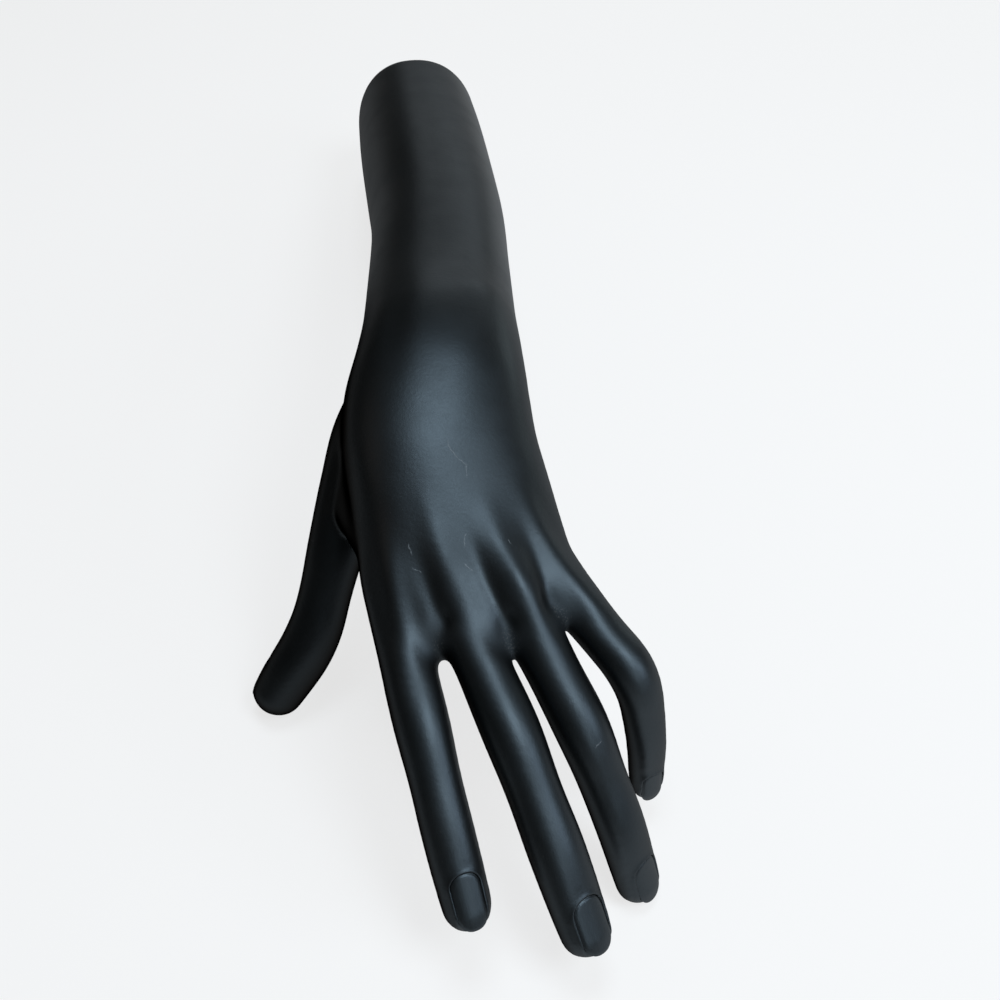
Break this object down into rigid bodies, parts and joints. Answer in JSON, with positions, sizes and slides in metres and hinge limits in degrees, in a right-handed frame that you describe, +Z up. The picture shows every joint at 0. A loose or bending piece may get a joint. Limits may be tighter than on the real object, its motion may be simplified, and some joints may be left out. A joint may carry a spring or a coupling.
{
  "type": "artist hand model",
  "caption": "Rigid moulded left hand with a forearm, fingers gently spread and bent, resting palm down on fingertips and forearm end.",
  "frame": {"origin": "on the resting surface, under the middle of the bounding box", "axes": "+X across the hand towards the little finger, +Y from the fingertips towards the elbow end, +Z up"},
  "size_m": [0.1226, 0.4104, 0.0953],
  "materials": {
    "shell": "satin black",
    "nail": "satin black, slightly smoother",
    "resin": "cast, matt",
    "steel": "bare",
    "wood": "raw, sawn"
  },
  "bodies": {
    "root": {"back_shell": "shell", "palm_shell": "shell", "index_core": "resin", "middle_core": "resin", "ring_core": "resin", "little_core": "resin", "thumb_core": "resin", "index_wire": "steel", "middle_wire": "steel", "ring_wire": "steel", "little_wire": "steel", "thumb_wire": "steel", "index_nail": "nail", "middle_nail": "nail", "ring_nail": "nail", "little_nail": "nail", "thumb_nail": "nail", "palm_block": "resin", "end_plug": "wood", "fitting_plate": "steel", "plate_screw_1": "steel", "plate_screw_2": "steel", "plate_screw_3": "steel"}
  },
  "joints": []
}
